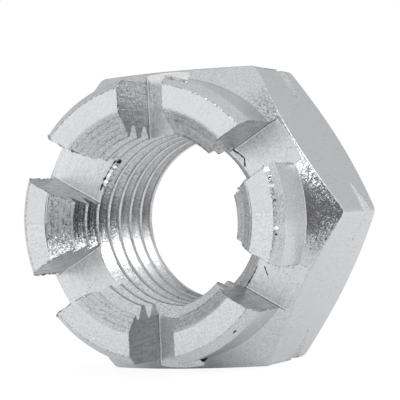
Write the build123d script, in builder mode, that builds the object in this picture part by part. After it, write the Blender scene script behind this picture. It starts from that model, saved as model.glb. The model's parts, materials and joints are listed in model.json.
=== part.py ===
from build123d import *
import os
from math import ceil, cos, radians, tan

# Castle nut, M24 coarse thread, 36 mm across the flats, turned from hexagon bar, slotted and tapped.
# It stands on one flat: the thread axis is horizontal, along Y, and the castellated end faces -Y.
# The origin is under the middle of the nut, on the surface it stands on, and all sizes are in mm.

# Hexagon
across_flats = 36.0
corner_radius = 1.0
nut_height = 26.2

# Crown, the turned round end that carries the slots
crown_diameter = 34.0
crown_length = 7.6
crown_chamfer_width = 1.0
crown_chamfer_length = 1.3

# Cone that runs from the crown down to the flats, and the chamfer of the bearing face,
# both as angles from a plane square to the axis
shoulder_angle = 40.5
bearing_diameter = 33.4
bearing_chamfer_angle = 44.0

# V groove turned round the six corners, near the bearing face, with the angles of its two walls
# from a plane square to the axis
groove_diameter = 37.9
groove_distance = 18.8
groove_front_angle = 36.0
groove_rear_angle = 48.0

# Slots for the split pin
slot_count = 6
slot_width = 5.8
slot_depth = 8.3

# Thread, right-handed, and the countersinks at its two ends. The crest distance is from the
# castellated end face to the first ridge, on the -X side of the bore.
thread_diameter = 24.0
thread_pitch = 3.0
thread_crest_distance = 1.76
end_countersink_diameter = 26.6
bearing_countersink_diameter = 25.2
countersink_angle = 90.0

# How far a cutting shape starts outside the face that it cuts
cut_clearance = 0.25

# Places along Y, and the radii that follow from the sizes above
end_face = -nut_height / 2
bearing_face = nut_height / 2
shoulder_start = end_face + crown_length
groove_bottom = end_face + groove_distance
axis_height = across_flats / 2
corner_reach = axis_height / cos(radians(30))
crown_radius = crown_diameter / 2
bearing_radius = bearing_diameter / 2
groove_radius = groove_diameter / 2
outside = max(corner_reach, crown_radius) + cut_clearance

# The thread groove is a 60 degree V with a sharp root at the full diameter. The ridges are cut off
# at a metric thread's inner diameter, 5/8 of the height of a triangle one pitch wide further in.
flank_angle = radians(30)
triangle_height = thread_pitch / 2 / tan(flank_angle)
root_radius = thread_diameter / 2
ridge_radius = root_radius - triangle_height * 5 / 8
mouth_radius = ridge_radius - cut_clearance
mouth_width = 2 * (root_radius - mouth_radius) * tan(flank_angle)


def rise(width, angle):
    """How far a cone at this angle from a square plane runs along the axis over a radial width."""
    return width * tan(radians(angle))


# The axis plane is square to the thread at the middle of the nut and faces the castellated end.
# The turning plane holds the axis: X is the radius there and Y runs along the axis.
axis_plane = Plane(origin=(0, 0, axis_height), x_dir=(1, 0, 0), z_dir=(0, -1, 0))
turning_plane = Plane(origin=(0, 0, axis_height), x_dir=(1, 0, 0), z_dir=(0, 0, 1))
thread_axis = Axis((0, 0, axis_height), (0, 1, 0))

# One turn of the tapped groove
with BuildPart() as thread_turn:
    with BuildLine() as turn_path:
        Helix(pitch=thread_pitch, height=thread_pitch, radius=ridge_radius)
    with BuildSketch(Plane(origin=turn_path.line @ 0, x_dir=(1, 0, 0), z_dir=(0, 1, 0))):
        with BuildLine():
            Polyline(
                (mouth_radius - ridge_radius, -mouth_width / 2),
                (root_radius - ridge_radius, 0),
                (mouth_radius - ridge_radius, mouth_width / 2),
                close=True,
            )
        make_face()
    sweep(path=turn_path.line, is_frenet=True)

# The turns start on the -X side and are stacked from past the bearing face to past the other end
thread_plane = Plane(origin=axis_plane.origin, x_dir=(-1, 0, 0), z_dir=axis_plane.z_dir)
first_groove = -end_face - thread_crest_distance + thread_pitch / 2
turns_back = ceil((first_groove + bearing_face + mouth_width / 2) / thread_pitch)
turns_ahead = ceil((-end_face + mouth_width / 2 - first_groove) / thread_pitch)
turn_starts = [first_groove + thread_pitch * turn for turn in range(-turns_back, turns_ahead)]

with BuildPart() as castle_nut:
    # Hexagon bar with slightly rounded corners
    with BuildSketch(axis_plane.offset(-bearing_face)) as bar_section:
        RegularPolygon(across_flats / 2, 6, major_radius=False)
        fillet(bar_section.vertices(), corner_radius)
    extrude(amount=nut_height)

    # Crown, cone and bearing chamfer
    with BuildSketch(turning_plane):
        with BuildLine():
            Polyline(
                (0, end_face),
                (crown_radius - crown_chamfer_width, end_face),
                (crown_radius, end_face + crown_chamfer_length),
                (crown_radius, shoulder_start),
                (outside, shoulder_start + rise(outside - crown_radius, shoulder_angle)),
                (outside, bearing_face - rise(outside - bearing_radius, bearing_chamfer_angle)),
                (bearing_radius, bearing_face),
                (0, bearing_face),
                close=True,
            )
        make_face()
    revolve(axis=thread_axis, mode=Mode.INTERSECT)

    # V groove round the corners
    with BuildSketch(turning_plane):
        with BuildLine():
            Polyline(
                (groove_radius, groove_bottom),
                (outside, groove_bottom - rise(outside - groove_radius, groove_front_angle)),
                (outside, groove_bottom + rise(outside - groove_radius, groove_rear_angle)),
                close=True,
            )
        make_face()
    revolve(axis=thread_axis, mode=Mode.SUBTRACT)

    # Bore at the ridges' diameter, with a countersink at each end
    end_cone_width = end_countersink_diameter / 2 - ridge_radius
    bearing_cone_width = bearing_countersink_diameter / 2 - ridge_radius
    cone_wall_angle = 90 - countersink_angle / 2
    with BuildSketch(turning_plane):
        with BuildLine():
            Polyline(
                (0, end_face),
                (ridge_radius + end_cone_width, end_face),
                (ridge_radius, end_face + rise(end_cone_width, cone_wall_angle)),
                (ridge_radius, bearing_face - rise(bearing_cone_width, cone_wall_angle)),
                (ridge_radius + bearing_cone_width, bearing_face),
                (0, bearing_face),
                close=True,
            )
        make_face()
    revolve(axis=thread_axis, mode=Mode.SUBTRACT)

    # Thread
    with Locations(*[thread_plane.offset(start) for start in turn_starts]):
        add(thread_turn.part, mode=Mode.SUBTRACT)

    # Slots, one at the middle of each flat
    with BuildSketch(axis_plane.offset(-end_face)):
        with PolarLocations(outside / 2, slot_count, start_angle=90):
            Rectangle(outside, slot_width)
    extrude(amount=-slot_depth, mode=Mode.SUBTRACT)

castle_nut.part.label = "castle_nut"
os.makedirs("parts", exist_ok=True)
export_step(castle_nut.part, "parts/castle_nut.step")
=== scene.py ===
import json
import math

import bmesh
import bpy
from mathutils import Matrix, Vector, noise


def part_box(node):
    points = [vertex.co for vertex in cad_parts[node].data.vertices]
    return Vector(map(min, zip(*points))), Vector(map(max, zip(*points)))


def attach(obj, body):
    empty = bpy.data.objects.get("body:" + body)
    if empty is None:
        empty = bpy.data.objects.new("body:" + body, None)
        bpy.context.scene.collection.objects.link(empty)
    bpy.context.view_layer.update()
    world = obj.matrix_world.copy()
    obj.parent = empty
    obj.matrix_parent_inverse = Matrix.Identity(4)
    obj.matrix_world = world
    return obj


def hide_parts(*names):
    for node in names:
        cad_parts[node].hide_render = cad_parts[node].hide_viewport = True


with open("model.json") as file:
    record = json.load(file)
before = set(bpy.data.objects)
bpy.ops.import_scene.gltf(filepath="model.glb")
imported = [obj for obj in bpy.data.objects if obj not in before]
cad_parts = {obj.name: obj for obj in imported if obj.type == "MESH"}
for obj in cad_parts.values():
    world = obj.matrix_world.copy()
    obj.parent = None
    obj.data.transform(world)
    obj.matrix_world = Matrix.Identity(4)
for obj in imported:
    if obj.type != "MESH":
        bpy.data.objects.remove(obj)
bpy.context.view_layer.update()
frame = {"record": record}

# Camera
# A long lens stands level with the nut's axis, to the right of its castellated end, and is rolled a little.
MM = 0.001
eye = Vector((81.0, -177.45, 18.0)) * MM
aim = Vector((1.2, 0.0, 20.3)) * MM
roll = math.radians(-2.89)
focal_length = 142.06
camera = bpy.data.objects.new("camera", bpy.data.cameras.new("camera"))
camera.data.lens = focal_length
camera.data.sensor_width = 36.0
camera.data.clip_start = 10 * MM
facing = (aim - eye).to_track_quat("-Z", "Y").to_matrix().to_4x4()
camera.matrix_world = Matrix.Translation(eye) @ facing @ Matrix.Rotation(roll, 4, "Z")
bpy.context.scene.collection.objects.link(camera)
bpy.context.scene.camera = camera

# Hexagon bar
# The nut starts as a length cut from drawn steel hexagon bar with slightly rounded corners. It lies on one
# flat with its axis along Y. After all the cutting it is plated with bright zinc.
low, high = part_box("castle_nut")
end_face, bearing_face = low.y, high.y
across_flats = high.z - low.z
axis_height = (low.z + high.z) / 2
axis_point = Vector((0, 0, axis_height))
bar_sides = 6
half_side_angle = math.radians(180 / bar_sides)
corner_radius = 1.0 * MM
corner_steps = 6


def linear(colour):
    """The linear colour of an sRGB hex value."""
    parts = [int(colour[place:place + 2], 16) / 255 for place in (0, 2, 4)]
    return [part / 12.92 if part <= 0.04045 else ((part + 0.055) / 1.055) ** 2.4 for part in parts] + [1]


def add(tree, kind, inputs=None, **settings):
    """Adds a node to a tree with its settings, and gives each input a value or a link."""
    made = tree.nodes.new(kind)
    for name, value in settings.items():
        setattr(made, name, value)
    for place, value in (inputs or {}).items():
        if isinstance(value, bpy.types.NodeSocket):
            tree.links.new(value, made.inputs[place])
        else:
            made.inputs[place].default_value = value
    return made


def darken(tree, shader, kept):
    """Multiplies the shader's colour by the share of the light that the surface keeps."""
    plain = shader.inputs["Base Color"].links[0].from_socket
    darker = add(tree, "ShaderNodeVectorMath", {0: plain, 1: kept}, operation="MULTIPLY").outputs["Vector"]
    tree.links.new(darker, shader.inputs["Base Color"])


def zinc_plate(name, roughness, crystal_size, crystal_tilt, dark, light, pores):
    """Starts a zinc-plated steel, and returns it with its tree, its shader, its place in mm and its normal.

    Zinc grows in crystals: each reflects a little more or less than the next, and is tilted a little.
    Their size is in mm, and their tilt is a share of the normal's length. Here and there a cluster of
    crystals holds dark pores, and pores is the share of the light that these swallow. Tilt and pores
    can be numbers, or functions that make a pattern. Real crystals are too fine for the picture, and
    are drawn as coarse as they need to show.
    """
    porous_above = 0.86
    clusters_per_mm = 0.45
    made = bpy.data.materials.new(name)
    made.use_nodes = True
    tree = made.node_tree
    shader = tree.nodes["Principled BSDF"]
    shader.inputs["Metallic"].default_value = 1.0
    shader.inputs["Roughness"].default_value = roughness
    place = add(tree, "ShaderNodeTexCoord").outputs["Object"]
    place = add(tree, "ShaderNodeMapping", {
        "Vector": place,
        "Location": (0, 0, -axis_height / MM),
        "Scale": (1 / MM, 1 / MM, 1 / MM),
    }).outputs["Vector"]
    if callable(crystal_tilt):
        crystal_tilt = crystal_tilt(tree, place)
    if callable(pores):
        pores = pores(tree, place)
    crystals = add(tree, "ShaderNodeTexVoronoi", {"Vector": place, "Scale": 1 / crystal_size})
    crystals = crystals.outputs["Color"]
    tilt = add(tree, "ShaderNodeVectorMath", {0: crystals, 1: (0.5, 0.5, 0.5)}, operation="SUBTRACT")
    tilt = add(tree, "ShaderNodeVectorMath", {0: tilt.outputs["Vector"], "Scale": crystal_tilt},
               operation="SCALE")
    normal = add(tree, "ShaderNodeNewGeometry").outputs["Normal"]
    normal = add(tree, "ShaderNodeVectorMath", {0: normal, 1: tilt.outputs["Vector"]}, operation="ADD")
    normal = add(tree, "ShaderNodeVectorMath", {0: normal.outputs["Vector"]}, operation="NORMALIZE")
    shade = add(tree, "ShaderNodeSeparateColor", {"Color": crystals}).outputs
    colour = add(tree, "ShaderNodeMix", {"Factor": shade["Red"], "A": linear(dark), "B": linear(light)},
                 data_type="RGBA").outputs["Result"]
    tree.links.new(colour, shader.inputs["Base Color"])
    hole = add(tree, "ShaderNodeMath", {0: shade["Green"], 1: porous_above}, operation="GREATER_THAN")
    clusters = add(tree, "ShaderNodeTexNoise", {"Vector": place, "Scale": clusters_per_mm, "Detail": 2.0})
    clusters = add(tree, "ShaderNodeMapRange", {"Value": clusters.outputs["Fac"], "From Min": 0.46,
                                                "From Max": 0.6}).outputs["Result"]
    clusters = add(tree, "ShaderNodeMath", {0: clusters, 1: pores}, operation="MULTIPLY").outputs["Value"]
    lost = add(tree, "ShaderNodeMath", {0: hole.outputs["Value"], 1: clusters}, operation="MULTIPLY")
    kept = add(tree, "ShaderNodeMath", {0: 1.0, 1: lost.outputs["Value"]}, operation="SUBTRACT")
    darken(tree, shader, kept.outputs["Value"])
    return made, tree, shader, place, normal.outputs["Vector"]


# The plate on drawn steel is smooth and gives the flats an even sheen. Drawing leaves long faint scratches
# along the bar. The real ones are finer than a pixel of the picture. They are drawn 0.14 mm wide and 2.5 mm
# long here, as coarse as they need to show.
scratches_per_mm = (7.0, 0.4, 7.0)
drawn_steel, tree, shader, place, normal = zinc_plate(
    "zinc plate on drawn steel", roughness=0.3, crystal_size=0.13, crystal_tilt=0.04,
    dark="D8D9DB", light="E5E6E8", pores=0.1)
along_bar = add(tree, "ShaderNodeMapping", {"Vector": place, "Scale": scratches_per_mm}).outputs["Vector"]
scratches = add(tree, "ShaderNodeTexNoise", {"Vector": along_bar, "Scale": 1.0, "Detail": 2.0}).outputs["Fac"]
kept = add(tree, "ShaderNodeMapRange", {"Value": scratches, "From Min": 0.3, "From Max": 0.4,
                                        "To Min": 0.84, "To Max": 1.0}).outputs["Result"]
darken(tree, shader, kept)
bump = add(tree, "ShaderNodeBump", {"Height": scratches, "Strength": 0.3, "Distance": 0.05 * MM,
                                    "Normal": normal})
tree.links.new(bump.outputs["Normal"], shader.inputs["Normal"])


def new_object(name, bm, material):
    """Turns a bmesh into an object in the scene, at the origin."""
    mesh = bpy.data.meshes.new(name)
    bm.to_mesh(mesh)
    bm.free()
    mesh.materials.append(material)
    made = bpy.data.objects.new(name, mesh)
    bpy.context.scene.collection.objects.link(made)
    return made


bar_length = bearing_face - end_face
corner_reach = across_flats / 2 / math.cos(half_side_angle)
bm = bmesh.new()
bmesh.ops.create_circle(bm, cap_ends=True, segments=bar_sides, radius=corner_reach)
pulled = bmesh.ops.extrude_face_region(bm, geom=bm.faces[:])
tops = [part for part in pulled["geom"] if isinstance(part, bmesh.types.BMVert)]
bmesh.ops.translate(bm, verts=tops, vec=(0, 0, bar_length))
corners = [edge for edge in bm.edges if abs(edge.verts[0].co.z - edge.verts[1].co.z) > bar_length / 2]
bmesh.ops.bevel(bm, geom=corners, offset=corner_radius * math.tan(half_side_angle), segments=corner_steps,
                profile=0.5, affect="EDGES", material=-1)
bmesh.ops.rotate(bm, verts=bm.verts, matrix=Matrix.Rotation(half_side_angle, 3, "Z"))
bmesh.ops.rotate(bm, verts=bm.verts, matrix=Matrix.Rotation(math.radians(-90), 3, "X"))
bmesh.ops.translate(bm, verts=bm.verts, vec=axis_point + Vector((0, end_face, 0)))
bmesh.ops.recalc_face_normals(bm, faces=bm.faces)
nut = new_object("zinc_plated_nut", bm, drawn_steel)

# Turned crown, cone and bearing end
# A lathe leaves the round crown with its chamfer, the cone down to the flats, the chamfered bearing end and
# a drilled bore with a countersink at each end. Every turned corner keeps the small radius of the tool.
crown_radius = 17.0 * MM
crown_length = 7.6 * MM
crown_chamfer_width = 1.0 * MM
crown_chamfer_length = 1.3 * MM
shoulder_angle = math.radians(40.5)
bearing_radius = 16.7 * MM
bearing_chamfer_angle = math.radians(44.0)
end_countersink = 13.3 * MM
bearing_countersink = 12.6 * MM
drilled_radius = 9.5 * MM
tool_radius = 0.12 * MM
root_fillet = 0.3 * MM
rounding_steps = 3
turning_steps = 300

# All cutting shapes reach out past the corners of the hexagon.
outside = 21.5 * MM


def from_axis(tree, place):
    """How far a point of the surface is from the nut's axis, in mm."""
    across = add(tree, "ShaderNodeVectorMath", {0: place, 1: (1, 0, 1)}, operation="MULTIPLY")
    radius = add(tree, "ShaderNodeVectorMath", {0: across.outputs["Vector"]}, operation="LENGTH")
    return radius.outputs["Value"]


def patchy_cone(tree, place):
    """The tilt of the crystals on turned steel: most out on the cone, in uneven patches."""
    patches_per_mm = 0.35
    least_tilt = 0.03
    out = add(tree, "ShaderNodeMapRange", {"Value": from_axis(tree, place), "From Min": 17.0,
                                           "From Max": 17.7, "To Min": 0.0, "To Max": 0.16}).outputs["Result"]
    patches = add(tree, "ShaderNodeTexNoise", {"Vector": place, "Scale": patches_per_mm, "Detail": 2.0})
    patches = add(tree, "ShaderNodeMapRange", {"Value": patches.outputs["Fac"], "From Min": 0.35,
                                               "From Max": 0.6, "To Min": 0.4, "To Max": 1.2})
    return add(tree, "ShaderNodeMath", {0: out, 1: patches.outputs["Result"], 2: least_tilt},
               operation="MULTIPLY_ADD").outputs["Value"]


# Turned steel is bright with rings about the axis, and its plate has a thin crust that breaks up what it
# mirrors. On the cone the crystals glitter. At one corner it was struck before plating and is pitted dark.
# Rings, crust and pits are all finer on the real nut, and are drawn coarser to show.
rings_per_mm = 5.0
crust_per_mm = 4.0
pits_per_mm = 3.5
struck_place = (13.7, -5.3, 10.5)
turned_steel, tree, shader, place, normal = zinc_plate(
    "zinc plate on turned steel", roughness=0.23, crystal_size=0.14, crystal_tilt=patchy_cone,
    dark="D3D4D6", light="E8E9EB", pores=0.1)
radius = from_axis(tree, place)
rings = add(tree, "ShaderNodeTexNoise", {"W": radius, "Scale": rings_per_mm, "Detail": 2.0},
            noise_dimensions="1D").outputs["Fac"]
crust = add(tree, "ShaderNodeTexNoise", {"Vector": place, "Scale": crust_per_mm, "Detail": 2.0})
crust = crust.outputs["Fac"]
relief = add(tree, "ShaderNodeMath", {0: rings, 1: 0.12, 2: crust}, operation="MULTIPLY_ADD").outputs["Value"]
bump = add(tree, "ShaderNodeBump", {"Height": relief, "Strength": 0.2, "Distance": 0.05 * MM,
                                    "Normal": normal})
tree.links.new(bump.outputs["Normal"], shader.inputs["Normal"])
struck = add(tree, "ShaderNodeVectorMath", {0: place, 1: struck_place}, operation="DISTANCE").outputs["Value"]
struck = add(tree, "ShaderNodeMapRange", {"Value": struck, "From Min": 2.5, "From Max": 6.0,
                                          "To Min": 0.55, "To Max": 0.0}).outputs["Result"]
on_cone = add(tree, "ShaderNodeMapRange", {"Value": radius, "From Min": 17.02, "From Max": 17.15})
struck = add(tree, "ShaderNodeMath", {0: struck, 1: on_cone.outputs["Result"]}, operation="MULTIPLY")
pits = add(tree, "ShaderNodeTexNoise", {"Vector": place, "Scale": pits_per_mm, "Detail": 4.0,
                                        "Roughness": 0.7})
pits = add(tree, "ShaderNodeMapRange", {"Value": pits.outputs["Fac"], "From Min": 0.42, "From Max": 0.56,
                                        "To Min": 1.0, "To Max": 0.0}).outputs["Result"]
lost = add(tree, "ShaderNodeMath", {0: pits, 1: struck.outputs["Value"]}, operation="MULTIPLY")
kept = add(tree, "ShaderNodeMath", {0: 1.0, 1: lost.outputs["Value"]}, operation="SUBTRACT").outputs["Value"]
darken(tree, shader, kept)


def rougher_left(on_left, elsewhere):
    """Makes a pattern for the countersink that differs on its left, where the cut is roughest."""
    def pattern(tree, place):
        across = add(tree, "ShaderNodeSeparateXYZ", {"Vector": place}).outputs["X"]
        return add(tree, "ShaderNodeMapRange", {"Value": across, "From Min": -11.0, "From Max": -8.0,
                                                "To Min": on_left, "To Max": elsewhere}).outputs["Result"]
    return pattern


# Countersunk steel keeps the marks of a chattering tool. Dark rings of its feed lie 0.55 mm apart, broken
# by the chatter, over wider dull rings. Its right side is more matt than its left. The chatter and the dull
# rings are drawn 0.4 to 0.5 mm wide, coarser than they are, to show.
feed = 0.55
first_feed_ring = 12.25
chatter_per_mm = 2.0
dull_rings_per_mm = 2.5
countersunk_steel, tree, shader, place, normal = zinc_plate(
    "zinc plate on countersunk steel", roughness=0.3, crystal_size=0.14, crystal_tilt=rougher_left(0.2, 0.1),
    dark="CACBCD", light="EEEFF1", pores=rougher_left(0.75, 0.35))
across = add(tree, "ShaderNodeSeparateXYZ", {"Vector": place}).outputs["X"]
matt = add(tree, "ShaderNodeMapRange", {"Value": across, "From Min": 3.0, "From Max": 9.0,
                                        "To Min": 0.3, "To Max": 0.6}).outputs["Result"]
tree.links.new(matt, shader.inputs["Roughness"])
chatter = add(tree, "ShaderNodeTexNoise", {"Vector": place, "Scale": chatter_per_mm, "Detail": 3.0})
chatter = chatter.outputs["Fac"]
bump = add(tree, "ShaderNodeBump", {"Height": chatter, "Strength": 0.25, "Distance": 0.08 * MM,
                                    "Normal": normal})
tree.links.new(bump.outputs["Normal"], shader.inputs["Normal"])
radius = from_axis(tree, place)
dull_rings = add(tree, "ShaderNodeTexNoise", {"W": radius, "Scale": dull_rings_per_mm, "Detail": 2.0},
                 noise_dimensions="1D").outputs["Fac"]
dull_rings = add(tree, "ShaderNodeMapRange", {"Value": dull_rings, "From Min": 0.3, "From Max": 0.55,
                                              "To Min": 0.86, "To Max": 1.0}).outputs["Result"]
feed_rings = add(tree, "ShaderNodeMath", {0: radius, 1: first_feed_ring}, operation="SUBTRACT")
feed_rings = add(tree, "ShaderNodeMath", {0: feed_rings.outputs["Value"], 1: feed / 2}, operation="PINGPONG")
feed_rings = add(tree, "ShaderNodeMapRange", {"Value": feed_rings.outputs["Value"], "From Min": 0.02,
                                              "From Max": 0.09, "To Min": 1.0, "To Max": 0.0})
broken = add(tree, "ShaderNodeMapRange", {"Value": chatter, "From Min": 0.4, "From Max": 0.6,
                                          "To Min": 0.0, "To Max": 0.4}).outputs["Result"]
lost = add(tree, "ShaderNodeMath", {0: feed_rings.outputs["Result"], 1: broken}, operation="MULTIPLY")
kept = add(tree, "ShaderNodeMath", {0: dull_rings, 1: lost.outputs["Value"]}, operation="SUBTRACT")
darken(tree, shader, kept.outputs["Value"])


def round_off(bm, vert, radius):
    """Rounds one corner of a wire outline to a radius."""
    ends = [edge.other_vert(vert).co - vert.co for edge in vert.link_edges]
    turn = math.pi - ends[0].angle(ends[1])
    bmesh.ops.bevel(bm, geom=[vert], offset=radius * math.tan(turn / 2), segments=rounding_steps, profile=0.5,
                    affect="VERTICES", material=-1)


def turned(name, outline, rounding, material):
    """Spins a closed outline of (radius, place along Y) points about the nut's axis into a solid.

    Rounding gives the radius of each corner that has one, by its number in the outline.
    """
    bm = bmesh.new()
    points = [bm.verts.new((radius, along, axis_height)) for radius, along in outline]
    for first, second in zip(points, points[1:] + points[:1]):
        bm.edges.new((first, second))
    for place, radius in rounding.items():
        round_off(bm, points[place], radius)
    bmesh.ops.spin(bm, geom=bm.verts[:] + bm.edges[:], cent=axis_point, axis=(0, 1, 0), angle=math.tau,
                   steps=turning_steps, use_merge=True)
    bmesh.ops.remove_doubles(bm, verts=bm.verts, dist=0.001 * MM)
    bmesh.ops.recalc_face_normals(bm, faces=bm.faces)
    return new_object(name, bm, material)


def cut(body, tool, operation="DIFFERENCE"):
    """Cuts a tool's shape out of the body, or keeps what they share, or adds it, and removes the tool."""
    boolean = body.modifiers.new("cut", "BOOLEAN")
    boolean.operation = operation
    boolean.solver = "MANIFOLD"
    boolean.material_mode = "TRANSFER"
    boolean.object = tool
    shaped = bpy.data.meshes.new_from_object(body.evaluated_get(bpy.context.evaluated_depsgraph_get()))
    body.modifiers.clear()
    body.data = shaped
    bpy.data.objects.remove(tool)


shoulder_back = math.tan(shoulder_angle) * (outside - crown_radius)
chamfer_back = math.tan(bearing_chamfer_angle) * (outside - bearing_radius)
lathe_form = turned("lathe_form", [
    (drilled_radius, end_face + end_countersink - drilled_radius),
    (end_countersink, end_face),
    (crown_radius - crown_chamfer_width, end_face),
    (crown_radius, end_face + crown_chamfer_length),
    (crown_radius, end_face + crown_length),
    (outside, end_face + crown_length + shoulder_back),
    (outside, bearing_face - chamfer_back),
    (bearing_radius, bearing_face),
    (bearing_countersink, bearing_face),
    (drilled_radius, bearing_face - bearing_countersink + drilled_radius),
], {
    1: tool_radius,
    2: tool_radius,
    3: tool_radius,
    4: root_fillet,
    7: tool_radius,
    8: tool_radius,
}, turned_steel)

# The faces that look in towards the axis are those of the two countersinks, and of the drilled bore, which
# the tap cuts away.
looks_in = -0.6
lathe_form.data.materials.append(countersunk_steel)
for face in lathe_form.data.polygons:
    out = Vector((face.center.x, 0, face.center.z - axis_height))
    if out.length < end_countersink and face.normal.dot(out.normalized()) < looks_in:
        face.material_index = 1
cut(nut, lathe_form, "INTERSECT")

# Groove round the corners
# The same lathe cuts a shallow V close to the bearing face. It is so shallow that only the six corners of
# the hexagon have it.
groove_radius = 18.95 * MM
groove_bottom = end_face + 18.8 * MM
groove_front_angle = math.radians(36.0)
groove_rear_angle = math.radians(48.0)
cut(nut, turned("groove_tool", [
    (groove_radius, groove_bottom),
    (outside, groove_bottom - math.tan(groove_front_angle) * (outside - groove_radius)),
    (outside, groove_bottom + math.tan(groove_rear_angle) * (outside - groove_radius)),
], {0: tool_radius}, turned_steel))

# Tumbling with the plating takes the sharpness off the edges between the flats and the turned faces.
edge_width = 0.13 * MM
too_small = 0.004 * MM
bm = bmesh.new()
bm.from_mesh(nut.data)
sharp = [edge for edge in bm.edges if len({face.material_index for face in edge.link_faces}) > 1]
bmesh.ops.bevel(bm, geom=sharp, offset=edge_width, segments=2, profile=0.5, affect="EDGES", material=-1,
                clamp_overlap=False)
bmesh.ops.remove_doubles(bm, verts=bm.verts, dist=too_small)
bmesh.ops.dissolve_degenerate(bm, edges=bm.edges, dist=too_small)
bm.to_mesh(nut.data)
bm.free()

# Tapped bore
# A tap cuts a right-hand metric thread of 3 mm pitch right through the bore. The first ridge stands
# 1.76 mm behind the end face on the -X side. Ridges and roots are a little rounded by wear of the tap.
thread = next(mount for mount in frame["record"]["mounts"] if mount["name"] == "thread")
ridge_radius = thread["dims"]["r_mm"] * MM
thread_radius = 12.0 * MM
pitch = 3.0 * MM
ridge_edge = pitch / 8
flank_angle = math.radians(30)
first_ridge = end_face + 1.76 * MM
ridge_rounding = 0.22 * MM
root_rounding = 0.22 * MM
thread_steps = 96
turns = 12
past_the_nut = 1 * MM

# Tapped steel is torn along its flanks, and the plate makes that grainy. Dark streaks follow the turns:
# partly torn grain, partly painted shade between the ridges and painted dark reflection. They are strongest
# at the mouth and on the left, and fade deeper in and lower down. The surface grows more matt towards the
# right.
# Grain and streaks are drawn coarser than they are, to show.
tears_per_mm = 4.5
streaks_and_shade_per_mm = 5.0
tapped_steel, tree, shader, place, normal = zinc_plate(
    "zinc plate on tapped steel", roughness=0.2, crystal_size=0.14, crystal_tilt=0.06,
    dark="CACBCD", light="E8E9EB", pores=0.35)
spot = add(tree, "ShaderNodeSeparateXYZ", {"Vector": place}).outputs
matt_inside = add(tree, "ShaderNodeMapRange", {"Value": spot["Y"], "From Min": -6.0, "From Max": 4.0,
                                               "To Min": 0.2, "To Max": 0.3}).outputs["Result"]
matt_right = add(tree, "ShaderNodeMapRange", {"Value": spot["X"], "From Min": 1.0, "From Max": 7.0,
                                              "To Min": 0.0, "To Max": 0.35}).outputs["Result"]
matt = add(tree, "ShaderNodeMath", {0: matt_inside, 1: matt_right}, operation="ADD").outputs["Value"]
tree.links.new(matt, shader.inputs["Roughness"])
torn = add(tree, "ShaderNodeTexNoise", {"Vector": place, "Scale": tears_per_mm, "Detail": 3.0,
                                        "Roughness": 0.6}).outputs["Fac"]
bump = add(tree, "ShaderNodeBump", {"Height": torn, "Strength": 0.3, "Distance": 0.06 * MM, "Normal": normal})
tree.links.new(bump.outputs["Normal"], shader.inputs["Normal"])
radius = from_axis(tree, place)
streaks_and_painted_shade = add(tree, "ShaderNodeTexNoise", {"W": radius, "Scale": streaks_and_shade_per_mm, "Detail": 1.0},
              noise_dimensions="1D").outputs["Fac"]
streaks_and_painted_shade = add(tree, "ShaderNodeMath", {0: streaks_and_painted_shade, 1: 0.6, 2: torn}, operation="MULTIPLY_ADD")
streaks_and_painted_shade = add(tree, "ShaderNodeMapRange", {"Value": streaks_and_painted_shade.outputs["Value"], "From Min": 0.68,
                                           "From Max": 0.88, "To Min": 0.7, "To Max": 0.0}).outputs["Result"]
at_mouth = add(tree, "ShaderNodeMapRange", {"Value": spot["Y"], "From Min": -6.0, "From Max": -1.0,
                                            "To Min": 1.0, "To Max": 0.35}).outputs["Result"]
on_left = add(tree, "ShaderNodeMapRange", {"Value": spot["X"], "From Min": -9.0, "From Max": -6.5,
                                           "To Min": 1.0, "To Max": 0.2}).outputs["Result"]
high_up = add(tree, "ShaderNodeMapRange", {"Value": spot["Z"], "From Min": -3.2, "From Max": -1.5,
                                           "To Min": 0.1, "To Max": 1.0}).outputs["Result"]
# Painted shade and painted dark reflection: the streaks are strongest at the mouth, on the left and high up.
lost = streaks_and_painted_shade
for share in (at_mouth, on_left, high_up):
    lost = add(tree, "ShaderNodeMath", {0: lost, 1: share}, operation="MULTIPLY").outputs["Value"]
kept = add(tree, "ShaderNodeMath", {0: 1.0, 1: lost}, operation="SUBTRACT").outputs["Value"]
darken(tree, shader, kept)

# The tap is one pitch of the thread's outline, swept round and along the axis past both ends of the bore.
flank = (thread_radius - ridge_radius) * math.tan(flank_angle)
start = first_ridge - 2 * pitch
bm = bmesh.new()
outline = [
    (ridge_radius, start),
    (ridge_radius, start + ridge_edge),
    (thread_radius, start + ridge_edge + flank),
    (thread_radius, start + pitch - ridge_edge - flank),
    (ridge_radius, start + pitch - ridge_edge),
    (ridge_radius, start + pitch),
]
points = [bm.verts.new((-radius, along, axis_height)) for radius, along in outline]
for first, second in zip(points, points[1:]):
    bm.edges.new((first, second))
for vert, rounding in zip(points[1:5], (ridge_rounding, root_rounding, root_rounding, ridge_rounding)):
    round_off(bm, vert, rounding)
bmesh.ops.spin(bm, geom=bm.verts[:] + bm.edges[:], cent=axis_point, axis=(0, 1, 0), angle=math.tau * turns,
               steps=thread_steps * turns, dvec=(0, pitch / thread_steps, 0))
bmesh.ops.remove_doubles(bm, verts=bm.verts, dist=0.002 * MM)
for plane, away in ((end_face - past_the_nut, -1), (bearing_face + past_the_nut, 1)):
    bmesh.ops.bisect_plane(bm, geom=bm.verts[:] + bm.edges[:] + bm.faces[:], dist=0.0001 * MM,
                           plane_co=(0, plane, 0), plane_no=(0, away, 0), clear_outer=True)
    bmesh.ops.holes_fill(bm, edges=[edge for edge in bm.edges if edge.is_boundary and
                                    all(abs(vert.co.y - plane) < 0.01 * MM for vert in edge.verts)])
bmesh.ops.triangulate(bm, faces=[face for face in bm.faces if len(face.verts) > 4])
bmesh.ops.recalc_face_normals(bm, faces=bm.faces)
cut(nut, new_object("tap", bm, tapped_steel))

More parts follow.
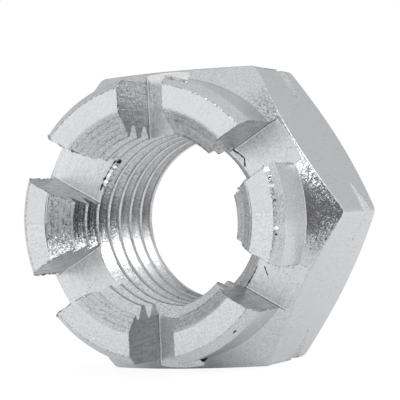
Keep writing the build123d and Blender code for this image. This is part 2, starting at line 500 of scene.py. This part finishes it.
# Slots
# A milling cutter passes three times across the crown, and each pass leaves two slots opposite each other
# for the split pin. It tears the metal a little, so that the walls are hatched and their edges are ragged.
slot_width = 5.8 * MM
slot_depth = 8.3 * MM
slot_passes = 3
slot_spacing = 60
corner_fillet = 0.18 * MM
wall_step = 0.2 * MM

# The walls are uneven by up to 0.03 mm, and within 0.3 mm of their edges by up to 0.16 mm.
wall_unevenness = 0.03
edge_unevenness = 0.13
edge_reach = 0.3 * MM
lump_size = 0.35 * MM

# The end of the cutter leaves the floors of the slots matt, with faint arcs and worn spots, which are drawn a
# third to half a millimetre wide to show. Their bright colour is partly that matt cut and partly painted
# light on the floors.
arcs_per_mm = 3.0
worn_spots_per_mm = 2.0
milled_floor_with_painted_light, tree, shader, place, normal = zinc_plate(
    "zinc plate on end milled steel", roughness=0.36, crystal_size=0.14, crystal_tilt=0.05,
    dark="DEDFE1", light="F0F1F3", pores=0.25)
arcs = add(tree, "ShaderNodeTexNoise", {"W": from_axis(tree, place), "Scale": arcs_per_mm, "Detail": 2.0},
           noise_dimensions="1D").outputs["Fac"]
worn = add(tree, "ShaderNodeTexNoise", {"Vector": place, "Scale": worn_spots_per_mm, "Detail": 3.0})
worn = worn.outputs["Fac"]
relief = add(tree, "ShaderNodeMath", {0: arcs, 1: 0.2, 2: worn}, operation="MULTIPLY_ADD").outputs["Value"]
bump = add(tree, "ShaderNodeBump", {"Height": relief, "Strength": 0.3, "Distance": 0.06 * MM,
                                    "Normal": normal})
tree.links.new(bump.outputs["Normal"], shader.inputs["Normal"])
kept = add(tree, "ShaderNodeMapRange", {"Value": arcs, "From Min": 0.3, "From Max": 0.5,
                                        "To Min": 0.92, "To Max": 1.0}).outputs["Result"]
darken(tree, shader, kept)

# The side of the cutter leaves the walls rougher, hatched along the axis. Their greyer colour is partly that
# rougher cut and partly painted shade inside the slots. The hatching is drawn 0.3 mm wide and 3 mm long,
# coarser than the real one, to show.
hatching_per_mm = (3.5, 0.35, 3.5)
milled_wall_with_painted_shade, tree, shader, place, normal = zinc_plate(
    "zinc plate on side milled steel", roughness=0.33, crystal_size=0.14, crystal_tilt=0.2,
    dark="BCBDBF", light="DCDDDF", pores=0.4)
hatching = add(tree, "ShaderNodeMapping", {"Vector": place, "Scale": hatching_per_mm}).outputs["Vector"]
hatching = add(tree, "ShaderNodeTexNoise", {"Vector": hatching, "Scale": 1.0, "Detail": 3.0}).outputs["Fac"]
bump = add(tree, "ShaderNodeBump", {"Height": hatching, "Strength": 0.5, "Distance": 0.08 * MM,
                                    "Normal": normal})
tree.links.new(bump.outputs["Normal"], shader.inputs["Normal"])
kept = add(tree, "ShaderNodeMapRange", {"Value": hatching, "From Min": 0.35, "From Max": 0.6,
                                        "To Min": 0.76, "To Max": 1.0}).outputs["Result"]
darken(tree, shader, kept)


def slot_cutter(angle):
    """A bar across the whole crown, as wide and deep as a slot, with uneven sides."""
    ahead = 1 * MM
    bm = bmesh.new()
    bmesh.ops.create_cube(bm, size=1)
    bmesh.ops.scale(bm, verts=bm.verts, vec=(slot_width, 2 * slot_depth, 2 * outside))
    bmesh.ops.bisect_plane(bm, geom=bm.verts[:] + bm.edges[:] + bm.faces[:], dist=0.0001 * MM,
                           plane_co=(0, -ahead, 0), plane_no=(0, -1, 0), clear_outer=True)
    bmesh.ops.holes_fill(bm, edges=[edge for edge in bm.edges if edge.is_boundary])
    bottom = [edge for edge in bm.edges if abs(edge.verts[0].co.z - edge.verts[1].co.z) > outside
              and edge.verts[0].co.y > 0.9 * slot_depth]
    bmesh.ops.bevel(bm, geom=bottom, offset=corner_fillet, segments=2, profile=0.5, affect="EDGES",
                    material=-1)
    for way, length in ((2, 2 * outside), (1, slot_depth + ahead - corner_fillet)):
        long = [edge for edge in bm.edges
                if abs(edge.verts[0].co[way] - edge.verts[1].co[way]) > 0.9 * length]
        bmesh.ops.subdivide_edges(bm, edges=long, cuts=int(length / wall_step), use_grid_fill=True)
    for vert in bm.verts:
        across, along, out = vert.co
        if abs(across) < slot_width / 2 - 0.001 * MM or along > slot_depth - corner_fillet - 0.01 * MM:
            continue
        radius = math.hypot(across, out)
        cone = (radius - end_countersink + along) / math.sqrt(2)
        inside = min(along, cone, radius - ridge_radius, crown_radius - radius)
        unevenness = wall_unevenness + edge_unevenness * math.exp(-max(inside, 0) / edge_reach)
        own_noise = across / abs(across) * 7 + angle * 5
        lump = Vector((own_noise, along / lump_size, out / lump_size))
        vert.co.x += unevenness * MM * noise.noise(lump)
    bmesh.ops.rotate(bm, verts=bm.verts, matrix=Matrix.Rotation(angle, 3, "Y"))
    bmesh.ops.translate(bm, verts=bm.verts, vec=axis_point + Vector((0, end_face, 0)))
    bmesh.ops.recalc_face_normals(bm, faces=bm.faces)
    floor, wall, fillet = 0, 1, 2
    for face in bm.faces:
        face.material_index = floor if face.normal.y > 0.95 else fillet if face.normal.y > 0.3 else wall
    cutter = new_object("slot_cutter", bm, milled_floor_with_painted_light)
    cutter.data.materials.append(milled_wall_with_painted_shade)
    cutter.data.materials.append(turned_steel)
    return cutter


for turn in range(slot_passes):
    cut(nut, slot_cutter(math.radians(slot_spacing * turn)))

# Burrs
# The cutters push up thin torn lips of metal along the edges of the slots and of the end face, and the
# plate thickens them into rough beads. Where a lip broke off, dark scale is left. The seed keeps the beads
# the same each time.
bead = 0.05 * MM
bead_step = 0.12 * MM
noise.seed_set(1)

# Torn steel has bright and dark facets that point all ways. Burnished steel was pressed smooth by the tool
# and flashes white. Scale is what the plate didn't cover, matt and nearly black. The same near-black material
# also paints the shadow beside the remains of a ridge of the thread and at its end.
torn_steel, tree, shader, place, normal = zinc_plate(
    "zinc plate on torn steel", roughness=0.25, crystal_size=0.12, crystal_tilt=0.5,
    dark="77787A", light="F0F1F3", pores=0.0)
tree.links.new(normal, shader.inputs["Normal"])
burnished_steel, tree, shader, place, normal = zinc_plate(
    "zinc plate on burnished steel", roughness=0.2, crystal_size=0.12, crystal_tilt=0.05,
    dark="FAFAFB", light="FFFFFF", pores=0.0)
tree.links.new(normal, shader.inputs["Normal"])
dark_scale_and_shade, tree, shader, place, normal = zinc_plate(
    "dark scale and painted shade", roughness=0.45, crystal_size=0.12, crystal_tilt=0.3,
    dark="2E2E30", light="48484A", pores=0.0)
tree.links.new(normal, shader.inputs["Normal"])


def burr(name, path, size, seed, unevenness=1.0, material=torn_steel):
    """Adds a bead of uneven thickness along a path to the nut."""
    wave = 0.3 * MM
    wander = 0.8
    swell = 1.9
    thinnest = 0.08
    curve = bpy.data.curves.new(name, "CURVE")
    curve.dimensions = "3D"
    curve.bevel_depth = size
    curve.bevel_resolution = 1
    curve.use_fill_caps = True
    line = curve.splines.new("POLY")
    line.points.add(len(path) - 1)
    for count, (point, spot) in enumerate(zip(line.points, path)):
        where = spot / wave + Vector((seed, 0, 0))
        shift = noise.noise_vector(where) * size * wander * unevenness
        point.co = (*(spot + shift), 1)
        ends = 0.3 + min(count, len(path) - 1 - count) / 2
        swelling = swell * noise.noise(where * 0.8 + Vector((9, 4, 2))) * unevenness
        point.radius = max(thinnest, min(1.0, ends) * (1.0 - 0.25 * unevenness + swelling))
    strand = bpy.data.objects.new(name, curve)
    bpy.context.scene.collection.objects.link(strand)
    bm = bmesh.new()
    bm.from_mesh(bpy.data.meshes.new_from_object(strand))
    bpy.data.objects.remove(strand)
    bmesh.ops.remove_doubles(bm, verts=bm.verts, dist=0.0005 * MM)
    bmesh.ops.recalc_face_normals(bm, faces=bm.faces)
    bmesh.ops.translate(bm, verts=bm.verts, vec=axis_point)
    cut(nut, new_object(name, bm, material), "UNION")


def lug_edge(angle, side):
    """The edge of a slot's wall, along the crown and over the end face into the countersink."""
    short_of_cone = 0.4 * MM
    short_of_thread = 1.2 * MM
    path = []
    across = side * slot_width / 2
    outer = crown_radius - crown_chamfer_width
    along = end_face + crown_length - short_of_cone
    while along > end_face + crown_chamfer_length:
        spot = Vector((across, along, math.sqrt(crown_radius * crown_radius - across * across)))
        path.append(Matrix.Rotation(angle, 3, "Y") @ spot)
        along -= bead_step
    radius = crown_radius
    while radius > ridge_radius + short_of_thread:
        along = end_face + max(0, end_countersink - radius)
        along += max(0, radius - outer) * crown_chamfer_length / crown_chamfer_width
        spot = Vector((across, along, math.sqrt(radius * radius - across * across)))
        path.append(Matrix.Rotation(angle, 3, "Y") @ spot)
        radius -= bead_step
    return path


# The slots are counted from the top one, clockwise as the castellated end is seen. Four of their twelve
# walls, given as slot and side, have heavier burrs than the rest.
slot_count = 2 * slot_passes
heavily_torn = {(1, 1), (4, -1), (4, 1), (5, 1)}
for count in range(slot_count):
    for side in (-1, 1):
        size = 1.8 * bead if (count, side) in heavily_torn else bead
        burr("slot_burr", lug_edge(math.radians(slot_spacing * count), side), size, count * 3.7 + side)

# A lighter burr runs round the outer edge of the end face, from one slot to the next.
edge_radius = crown_radius - crown_chamfer_width
reach = math.asin(slot_width / 2 / crown_radius)
for count in range(slot_count):
    start = math.radians(slot_spacing * count) + reach
    end = math.radians(slot_spacing * (count + 1)) - reach
    steps = int((end - start) * crown_radius / bead_step)
    ring = [Matrix.Rotation(start + (end - start) * step / steps, 3, "Y") @ Vector((0, end_face, edge_radius))
            for step in range(steps + 1)]
    burr("crown_burr", ring, bead, count * 5.3)

# Larger marks: a sliver lifted off the crown beside the top slot; another, the remains of a ridge of the
# thread, at the floor of the upper left slot, with a painted shadow along its outer side and a painted shadow
# at its end; a row of beads with tears and specks on the right lug; a speck under the crown and one on its
# chamfer; cracks in the floors of the right slots.
# The columns are the radius at each end of the mark and its distance behind the end face, in mm, the angle
# of each end from +X towards +Z, in degrees, its thickness in mm, its unevenness and its material.
for name, start_radius, end_radius, behind, start, end, size, unevenness, material in (
    ("crown_tear", 16.88, 16.88, 0.98, 70.5, 79.0, 0.05, 0.3, torn_steel),
    ("crown_sliver", 17.05, 17.05, 1.2, 70.5, 77.0, 0.2, 0.2, burnished_steel),
    ("crown_speck", 17.05, 17.05, 7.3, -80.5, -77.5, 0.3, 0.4, dark_scale_and_shade),
    ("chamfer_speck", 16.6, 16.6, 0.75, -53.0, -51.0, 0.12, 0.6, dark_scale_and_shade),
    ("ridge_sliver", 10.4, 10.4, 8.17, 136.5, 155.0, 0.3, 0.25, burnished_steel),
    # Painted shadow: a dark line in the gap beside the ridge sliver.
    ("ridge_painted_shadow", 10.85, 10.85, 8.3, 135.0, 158.0, 0.09, 0.7, dark_scale_and_shade),
    # Painted shadow: a dark spot at the end of the ridge sliver.
    ("ridge_end_painted_shadow", 10.4, 10.4, 8.1, 132.0, 135.5, 0.36, 0.2, dark_scale_and_shade),
    ("lug_bead", 16.12, 16.12, 0.25, 16.6, 20.4, 0.4, 0.1, burnished_steel),
    ("lug_bead", 16.12, 16.12, 0.25, 13.4, 16.2, 0.42, 0.1, burnished_steel),
    ("lug_bead", 16.12, 16.12, 0.25, 10.6, 13.0, 0.42, 0.1, burnished_steel),
    ("lug_bead", 16.12, 16.12, 0.25, 8.6, 9.8, 0.38, 0.1, burnished_steel),
    ("lug_bead", 16.12, 16.12, 0.2, -6.4, -4.4, 0.4, 0.1, burnished_steel),
    ("lug_tear", 16.3, 16.3, 0.05, -2.0, 20.0, 0.08, 0.9, torn_steel),
    ("lug_tear", 16.2, 16.2, 0.0, -14.0, -2.0, 0.06, 0.6, torn_steel),
    ("lug_speck", 16.3, 16.3, 0.2, 5.2, 6.2, 0.1, 0.4, dark_scale_and_shade),
    ("lug_speck", 16.3, 16.3, 0.2, -8.2, -7.2, 0.1, 0.4, dark_scale_and_shade),
    ("floor_tear", 12.7, 13.6, 8.3, -27.9, -31.5, 0.07, 0.4, dark_scale_and_shade),
    ("floor_tear", 11.9, 12.1, 8.3, -29.0, -45.5, 0.07, 0.5, dark_scale_and_shade),
    ("floor_tear", 11.3, 11.65, 8.3, 45.0, 36.0, 0.1, 0.4, dark_scale_and_shade),
    ("floor_tear", 11.65, 11.05, 8.3, 36.3, 31.8, 0.1, 0.4, dark_scale_and_shade),
):
    along = end_face + behind * MM
    length = math.hypot(math.radians(end - start) * start_radius, end_radius - start_radius) * MM
    steps = max(3, int(length / bead_step))
    path = []
    for step in range(steps + 1):
        angle = math.radians(start + (end - start) * step / steps)
        radius = (start_radius + (end_radius - start_radius) * step / steps) * MM
        path.append(Vector((radius * math.cos(angle), along, radius * math.sin(angle))))
    burr(name, path, size * MM, start, unevenness, material)

# Whole nut
# The finished nut is one piece of plated steel. Its faces shade smoothly, and every edge of more than
# 28 degrees stays crisp.
crisp_angle = math.radians(28)
bm = bmesh.new()
bm.from_mesh(nut.data)
for face in bm.faces:
    face.smooth = True
for edge in bm.edges:
    edge.smooth = edge.calc_face_angle(0) < crisp_angle
bm.to_mesh(nut.data)
bm.free()
weighted = nut.modifiers.new("even flats", "WEIGHTED_NORMAL")
weighted.keep_sharp = True
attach(nut, "root")
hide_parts("castle_nut")

# Floor
# The nut stands on a wide sheet of matt white paper. The camera sees the sheet lit up to plain white with
# only the nut's shadow on it. The metal mirrors it dark close under the nut and lighter further away.
floor_size = 2
floor_glow = 1.12
glow_in_camera = 0.8
bm = bmesh.new()
bmesh.ops.create_grid(bm, x_segments=1, y_segments=1, size=floor_size)
paper = bpy.data.materials.new("matt white paper")
paper.use_nodes = True
tree = paper.node_tree
matt = tree.nodes["Principled BSDF"]
matt.inputs["Base Color"].default_value = linear("EFEFEF")
matt.inputs["Roughness"].default_value = 0.9
rays = add(tree, "ShaderNodeLightPath").outputs
seen = add(tree, "ShaderNodeMath", {0: rays["Is Camera Ray"], 1: glow_in_camera}, operation="MULTIPLY")
place = add(tree, "ShaderNodeTexCoord").outputs["Object"]
away = add(tree, "ShaderNodeVectorMath", {0: place}, operation="LENGTH").outputs["Value"]
under = add(tree, "ShaderNodeMapRange", {"Value": away, "From Min": 5 * MM, "From Max": 10 * MM,
                                         "To Min": 0.0, "To Max": 0.28}).outputs["Result"]
beyond = add(tree, "ShaderNodeMapRange", {"Value": away, "From Min": 40 * MM, "From Max": 200 * MM,
                                          "To Min": 0.0, "To Max": 0.12}).outputs["Result"]
mirrored = add(tree, "ShaderNodeMath", {0: under, 1: beyond}, operation="ADD").outputs["Value"]
seen = add(tree, "ShaderNodeMath", {0: rays["Is Glossy Ray"], 1: mirrored, 2: seen.outputs["Value"]},
           operation="MULTIPLY_ADD").outputs["Value"]
white = add(tree, "ShaderNodeEmission", {"Color": (1, 1, 1, 1), "Strength": floor_glow}).outputs["Emission"]
surface = add(tree, "ShaderNodeMixShader", {0: seen, 1: matt.outputs["BSDF"], 2: white}).outputs["Shader"]
tree.links.new(surface, tree.nodes["Material Output"].inputs["Surface"])
floor = new_object("floor", bm, paper)

# Light
# The nut stands in a white studio, bright in front and greyer above and behind. A tilted oval window glows
# in front of it, just right of the camera, and the white streaks in the metal are its reflection. The
# camera itself sees the room as plain white.
window_azimuth = math.radians(-51)
window_half_width = math.radians(25)
window_height = math.sin(math.radians(24))
window_half_height = 0.145
window_slope = 0.24
window_glow = 4.2
room_fall = (0.0, -0.22, -0.3)
world = bpy.data.worlds.new("studio")
bpy.context.scene.world = world
world.use_nodes = True
tree = world.node_tree
way = add(tree, "ShaderNodeTexCoord").outputs["Generated"]
parts = add(tree, "ShaderNodeSeparateXYZ", {"Vector": way}).outputs
fall = add(tree, "ShaderNodeVectorMath", {0: way, 1: room_fall}, operation="DOT_PRODUCT").outputs["Value"]
ceiling = add(tree, "ShaderNodeMapRange", {"Value": parts["Z"], "From Min": 0.8, "From Max": 0.95,
                                           "To Min": 0.88, "To Max": 1.02}).outputs["Result"]
room = add(tree, "ShaderNodeMath", {0: fall, 1: ceiling}, operation="ADD").outputs["Value"]
aside = add(tree, "ShaderNodeMath", {0: parts["Y"], 1: parts["X"]}, operation="ARCTAN2").outputs["Value"]
aside = add(tree, "ShaderNodeMath", {0: aside, 1: window_azimuth}, operation="SUBTRACT").outputs["Value"]
middle = add(tree, "ShaderNodeMath", {0: aside, 1: window_slope, 2: window_height},
             operation="MULTIPLY_ADD").outputs["Value"]
above = add(tree, "ShaderNodeMath", {0: parts["Z"], 1: middle}, operation="SUBTRACT").outputs["Value"]
above = add(tree, "ShaderNodeMath", {0: above, 1: window_half_height}, operation="DIVIDE").outputs["Value"]
aside = add(tree, "ShaderNodeMath", {0: aside, 1: window_half_width}, operation="DIVIDE").outputs["Value"]
off_centre = add(tree, "ShaderNodeCombineXYZ", {"X": aside, "Y": above}).outputs["Vector"]
off_centre = add(tree, "ShaderNodeVectorMath", {0: off_centre}, operation="LENGTH").outputs["Value"]
glow = add(tree, "ShaderNodeMapRange", {"Value": off_centre, "From Min": 0.6, "From Max": 1.1,
                                        "To Min": window_glow, "To Max": 0.0},
           interpolation_type="SMOOTHSTEP").outputs["Result"]
room = add(tree, "ShaderNodeMath", {0: room, 1: glow}, operation="ADD").outputs["Value"]
rays = add(tree, "ShaderNodeLightPath").outputs
strength = add(tree, "ShaderNodeMix", {"Factor": rays["Is Camera Ray"], "A": room, "B": 1.0})
tree.links.new(strength.outputs["Result"], tree.nodes["Background"].inputs["Strength"])
tree.nodes["Background"].inputs["Color"].default_value = (1, 1, 1, 1)
bpy.context.scene.view_settings.view_transform = "Standard"


def direction(azimuth, elevation):
    """A unit vector at these angles in degrees, the azimuth turning from +X to +Y."""
    azimuth, elevation = math.radians(azimuth), math.radians(elevation)
    flat = math.cos(elevation)
    return Vector((math.cos(azimuth) * flat, math.sin(azimuth) * flat, math.sin(elevation)))


# A softbox hangs high on the right, a little behind the nut, and lights the flats on that side.
beside = direction(27, 38)
softbox_distance = 350 * MM
softbox = bpy.data.objects.new("softbox", bpy.data.lights.new("softbox", "AREA"))
softbox.data.shape = "RECTANGLE"
softbox.data.size = 200 * MM
softbox.data.size_y = 120 * MM
softbox.data.energy = 0.16
facing = beside.to_track_quat("Z", "Y").to_matrix().to_4x4()
softbox.matrix_world = Matrix.Translation(axis_point + beside * softbox_distance) @ facing
bpy.context.scene.collection.objects.link(softbox)

# Two low curved cards stand on the floor round the nut, and only show as dark bands in the metal: a nearly
# black one in front and a grey one at the right. Their angles are azimuths in degrees.
card_distance = 88 * MM
card_steps = 8
for name, shade, start_angle, end_angle, card_height in (
    ("screen_beside", "626262", -16, -39, 50 * MM),
    ("screen_in_front", "202020", -47, -74, 45 * MM),
):
    card = bpy.data.materials.new("matt card")
    card.use_nodes = True
    card.node_tree.nodes["Principled BSDF"].inputs["Base Color"].default_value = linear(shade)
    card.node_tree.nodes["Principled BSDF"].inputs["Roughness"].default_value = 0.9
    bm = bmesh.new()
    foot = bm.verts.new(direction(start_angle, 0) * card_distance)
    top = bm.verts.new(foot.co + Vector((0, 0, card_height)))
    bmesh.ops.spin(bm, geom=[foot, top, bm.edges.new((foot, top))], cent=(0, 0, 0), axis=(0, 0, 1),
                   angle=math.radians(end_angle - start_angle), steps=card_steps)
    screen = new_object(name, bm, card)
    screen.visible_camera = False
